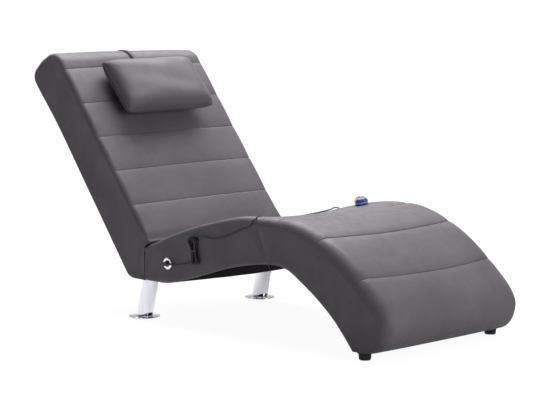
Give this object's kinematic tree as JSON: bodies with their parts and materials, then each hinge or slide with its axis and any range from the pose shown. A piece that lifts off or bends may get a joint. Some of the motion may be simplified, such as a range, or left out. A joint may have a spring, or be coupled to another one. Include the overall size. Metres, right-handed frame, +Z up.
{
  "type": "massage lounge chair",
  "caption": "Padded massage lounge chair with channelled backrest, arched seat, chromed tube legs, loose head pillow on a strap and a wired handset",
  "frame": {"origin": "on the floor, under the middle of the box round the chair without its lead", "axes": "+X from the backrest to the foot end, +Y to the far side of the picture, +Z up"},
  "size_m": [1.5182, 0.6389, 0.8102],
  "materials": {
    "upholstery": "matte grained faux leather",
    "foam": "open-cell foam",
    "timber": "planed pine",
    "webbing": "woven webbing",
    "dust_cloth": "thin non-woven cloth",
    "heater": "felt pad",
    "steel": "zinc-plated steel",
    "chrome": "polished chrome",
    "black_plastic": "moulded",
    "strap": "woven strap",
    "circuit": "coated board",
    "lead": "PVC sheath",
    "tie": "plastic-covered wire",
    "pale_shell": "moulded, satin",
    "blue_shell": "moulded, glossy",
    "red_key": "moulded",
    "orange_key": "moulded",
    "white_key": "moulded"
  },
  "bodies": {
    "chair": {"seat_cover": "upholstery", "seat_foam": "foam", "seat_near_rail": "timber", "seat_far_rail": "timber", "seat_cross_rails": "timber", "seat_webbing": "webbing", "seat_dust_cover": "dust_cloth", "backrest_cover": "upholstery", "backrest_foam": "foam", "backrest_near_rail": "timber", "backrest_far_rail": "timber", "backrest_cross_rails": "timber", "backrest_webbing": "webbing", "heating_pad": "heater", "joining_bolts": "steel", "joining_nuts": "steel", "leg_blocks": "timber", "leg_mount_plates": "steel", "leg_studs": "steel", "near_leg_tube": "chrome", "far_leg_tube": "chrome", "near_leg_base": "chrome", "far_leg_base": "chrome", "leg_glides": "black_plastic", "front_feet": "black_plastic", "foot_screws": "steel", "strap_anchor": "strap", "motor_pods": "black_plastic", "motor_pod_lids": "black_plastic", "motor_cans": "steel", "control_box": "black_plastic", "control_box_lid": "black_plastic", "control_board": "circuit", "wiring_harness": "lead", "socket_ring": "chrome", "socket_body": "black_plastic", "socket_nut": "steel", "lead_plug": "black_plastic", "lead_near": "lead", "lead_hank": "lead", "hank_tie": "tie", "lead_far": "lead", "handset_strain_relief": "lead", "handset_lower_shell": "pale_shell", "handset_upper_shell": "blue_shell", "handset_board": "circuit"},
    "pillow": {"pillow_cover": "upholstery", "pillow_fill": "foam", "pillow_strap": "strap"},
    "near_shoulder_weight": {"near_shoulder_rotor": "steel"},
    "far_shoulder_weight": {"far_shoulder_rotor": "steel"},
    "near_lumbar_weight": {"near_lumbar_rotor": "steel"},
    "far_lumbar_weight": {"far_lumbar_rotor": "steel"},
    "thigh_weight": {"thigh_rotor": "steel"},
    "calf_weight": {"calf_rotor": "steel"},
    "power_key": {"power_button": "red_key"},
    "heat_key": {"heat_button": "orange_key"},
    "mode_key": {"mode_button": "white_key"},
    "faster_key": {"faster_button": "white_key"},
    "slower_key": {"slower_button": "white_key"}
  },
  "joints": [
    {"name": "pillow_slide", "type": "slide", "parent": "chair", "child": "pillow", "axis": [-0.6088, 0, 0.7934], "range_m": [-0.08, 0]},
    {"name": "near_shoulder_shaft", "type": "hinge", "parent": "chair", "child": "near_shoulder_weight", "pos_m": [-0.55824, -0.0897, 0.63473], "axis": [0, 1, 0], "continuous": true},
    {"name": "far_shoulder_shaft", "type": "hinge", "parent": "chair", "child": "far_shoulder_weight", "pos_m": [-0.55824, 0.0933, 0.63473], "axis": [0, 1, 0], "continuous": true},
    {"name": "near_lumbar_shaft", "type": "hinge", "parent": "chair", "child": "near_lumbar_weight", "pos_m": [-0.31177, -0.0897, 0.31351], "axis": [0, 1, 0], "continuous": true},
    {"name": "far_lumbar_shaft", "type": "hinge", "parent": "chair", "child": "far_lumbar_weight", "pos_m": [-0.31177, 0.0933, 0.31351], "axis": [0, 1, 0], "continuous": true},
    {"name": "thigh_shaft", "type": "hinge", "parent": "chair", "child": "thigh_weight", "pos_m": [0.24941, 0.0018, 0.3168], "axis": [0, 1, 0], "continuous": true},
    {"name": "calf_shaft", "type": "hinge", "parent": "chair", "child": "calf_weight", "pos_m": [0.55603, 0.0018, 0.24242], "axis": [0, 1, 0], "continuous": true},
    {"name": "power_press", "type": "slide", "parent": "chair", "child": "power_key", "axis": [0.1918, 0.0738, -0.9787], "range_m": [0, 0.0012], "stiffness_N_per_m": 600},
    {"name": "heat_press", "type": "slide", "parent": "chair", "child": "heat_key", "axis": [0.1918, 0.0738, -0.9787], "range_m": [0, 0.0012], "stiffness_N_per_m": 600},
    {"name": "mode_press", "type": "slide", "parent": "chair", "child": "mode_key", "axis": [0.1918, 0.0738, -0.9787], "range_m": [0, 0.0012], "stiffness_N_per_m": 600},
    {"name": "faster_press", "type": "slide", "parent": "chair", "child": "faster_key", "axis": [0.1918, 0.0738, -0.9787], "range_m": [0, 0.0012], "stiffness_N_per_m": 600},
    {"name": "slower_press", "type": "slide", "parent": "chair", "child": "slower_key", "axis": [0.1918, 0.0738, -0.9787], "range_m": [0, 0.0012], "stiffness_N_per_m": 600}
  ]
}
